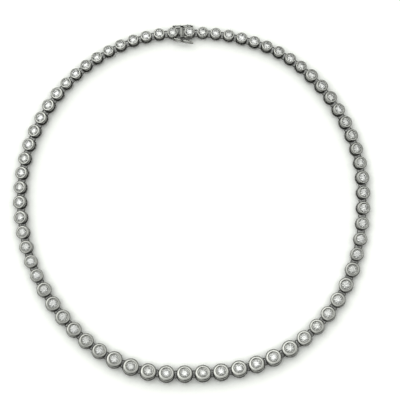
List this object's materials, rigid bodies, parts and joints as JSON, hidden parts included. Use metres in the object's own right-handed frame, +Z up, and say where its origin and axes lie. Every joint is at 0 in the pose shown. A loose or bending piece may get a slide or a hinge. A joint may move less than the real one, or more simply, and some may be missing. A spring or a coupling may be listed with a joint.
{
  "type": "diamond necklace",
  "caption": "Closed line of round diamonds in turned white-gold cups that grow towards the front, linked by jump rings, with a box clasp and hinged figure-eight safety catches.",
  "frame": {"origin": "on the surface that the necklace lies on, below the middle of its outline", "axes": "+Z up from the surface, the way the stones face; +Y towards the clasp; +X to the right when the clasp is at the top"},
  "size_m": [0.1346, 0.1363, 0.0046],
  "materials": {
    "white_gold": "polished white gold, lightly worn on the lips and base rings",
    "white_gold_wire": "drawn and polished white-gold wire",
    "diamond": "clear brilliant-cut facets"
  },
  "bodies": {
    "necklace": {"collets_left": "white_gold", "collets_right": "white_gold", "stones_left": "diamond", "stones_right": "diamond", "jump_rings_left": "white_gold_wire", "jump_rings_right": "white_gold_wire", "clasp_tongue": "white_gold", "clasp_box": "white_gold", "tongue_stone": "diamond", "box_stone": "diamond"},
    "catch_outer": {"catch_outer": "white_gold_wire"},
    "catch_inner": {"catch_inner": "white_gold_wire"}
  },
  "joints": [
    {"name": "outer_catch_hinge", "type": "hinge", "parent": "necklace", "child": "catch_outer", "pos_m": [-0.00692, 0.06716, 0.0014], "axis": [-0.0061, 0.1702, 0.9854], "range_deg": [0, 100]},
    {"name": "inner_catch_hinge", "type": "hinge", "parent": "necklace", "child": "catch_inner", "pos_m": [-0.00674, 0.06208, 0.00228], "axis": [0.0061, -0.1702, -0.9854], "range_deg": [-14, 86]}
  ]
}
